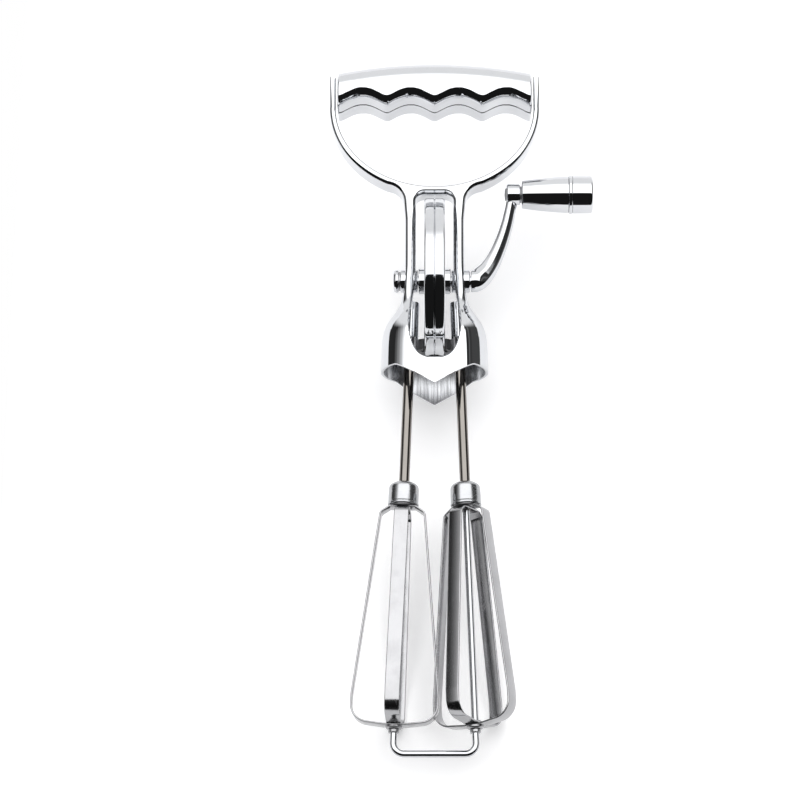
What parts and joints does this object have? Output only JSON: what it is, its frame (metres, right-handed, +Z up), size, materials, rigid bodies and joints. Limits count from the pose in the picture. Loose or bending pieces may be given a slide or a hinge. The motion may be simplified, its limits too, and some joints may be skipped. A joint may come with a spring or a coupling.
{
  "type": "rotary egg beater",
  "caption": "Hand-cranked rotary egg beater: waved grip on a loop frame, a crank and crown wheel that turn two geared hoop beaters on a bent wire.",
  "frame": {"origin": "lowest point of the support wire, midway between the beaters", "axes": "+Z up to the grip, +X towards the crank and knob, +Y to the rear"},
  "size_m": [0.1141, 0.0714, 0.3082],
  "materials": {
    "chrome_plate": "bright chrome plate",
    "grip_chrome": "bright chrome plate",
    "wheel_chrome": "bright chrome plate on a turned rim",
    "knob_chrome": "bright chrome plate",
    "satin_steel": "rolled stainless strip, fine lengthwise brushing",
    "steel": "plain steel fastener",
    "gear_steel": "sintered steel gear"
  },
  "bodies": {
    "frame": {"frame_casting": "chrome_plate", "grip_front_shell": "grip_chrome", "grip_rear_shell": "grip_chrome", "grip_screws": "steel", "support_wire": "chrome_plate", "wire_stops": "steel", "thrust_washer_left": "steel", "thrust_washer_right": "steel"},
    "drive": {"axle": "chrome_plate", "axle_washer": "steel", "wheel_left_half": "wheel_chrome", "wheel_right_half": "wheel_chrome", "wheel_rivets": "steel", "crank_arm": "chrome_plate", "knob_spindle": "steel"},
    "knob": {"knob_barrel": "knob_chrome", "knob_ring": "knob_chrome", "knob_end_cap": "knob_chrome"},
    "left_beater": {"drive_tube_left": "chrome_plate", "pinion_left": "gear_steel", "hub_cap_left": "satin_steel", "blade_plate_left": "steel", "outer_hoop_left": "satin_steel", "inner_hoop_left": "satin_steel", "eyelet_left": "steel"},
    "right_beater": {"drive_tube_right": "chrome_plate", "pinion_right": "gear_steel", "hub_cap_right": "satin_steel", "blade_plate_right": "steel", "outer_hoop_right": "satin_steel", "inner_hoop_right": "satin_steel", "eyelet_right": "steel"}
  },
  "joints": [
    {"name": "crank_turn", "type": "hinge", "parent": "frame", "child": "drive", "pos_m": [0, 0, 0.209], "axis": [1, 0, 0], "continuous": true},
    {"name": "knob_spin", "type": "hinge", "parent": "drive", "child": "knob", "pos_m": [0.048, 0, 0.249], "axis": [1, 0, 0], "continuous": true},
    {"name": "left_beater_spin", "type": "hinge", "parent": "frame", "child": "left_beater", "pos_m": [-0.01732, 0, 0], "axis": [0.0379, 0, 0.9993], "continuous": true},
    {"name": "right_beater_spin", "type": "hinge", "parent": "frame", "child": "right_beater", "pos_m": [0.01732, 0, 0], "axis": [-0.0379, 0, 0.9993], "continuous": true}
  ],
  "couplings": [
    {"joint": "left_beater_spin", "follows": "crank_turn", "ratio": 4.1667},
    {"joint": "right_beater_spin", "follows": "crank_turn", "ratio": -4.1667}
  ]
}
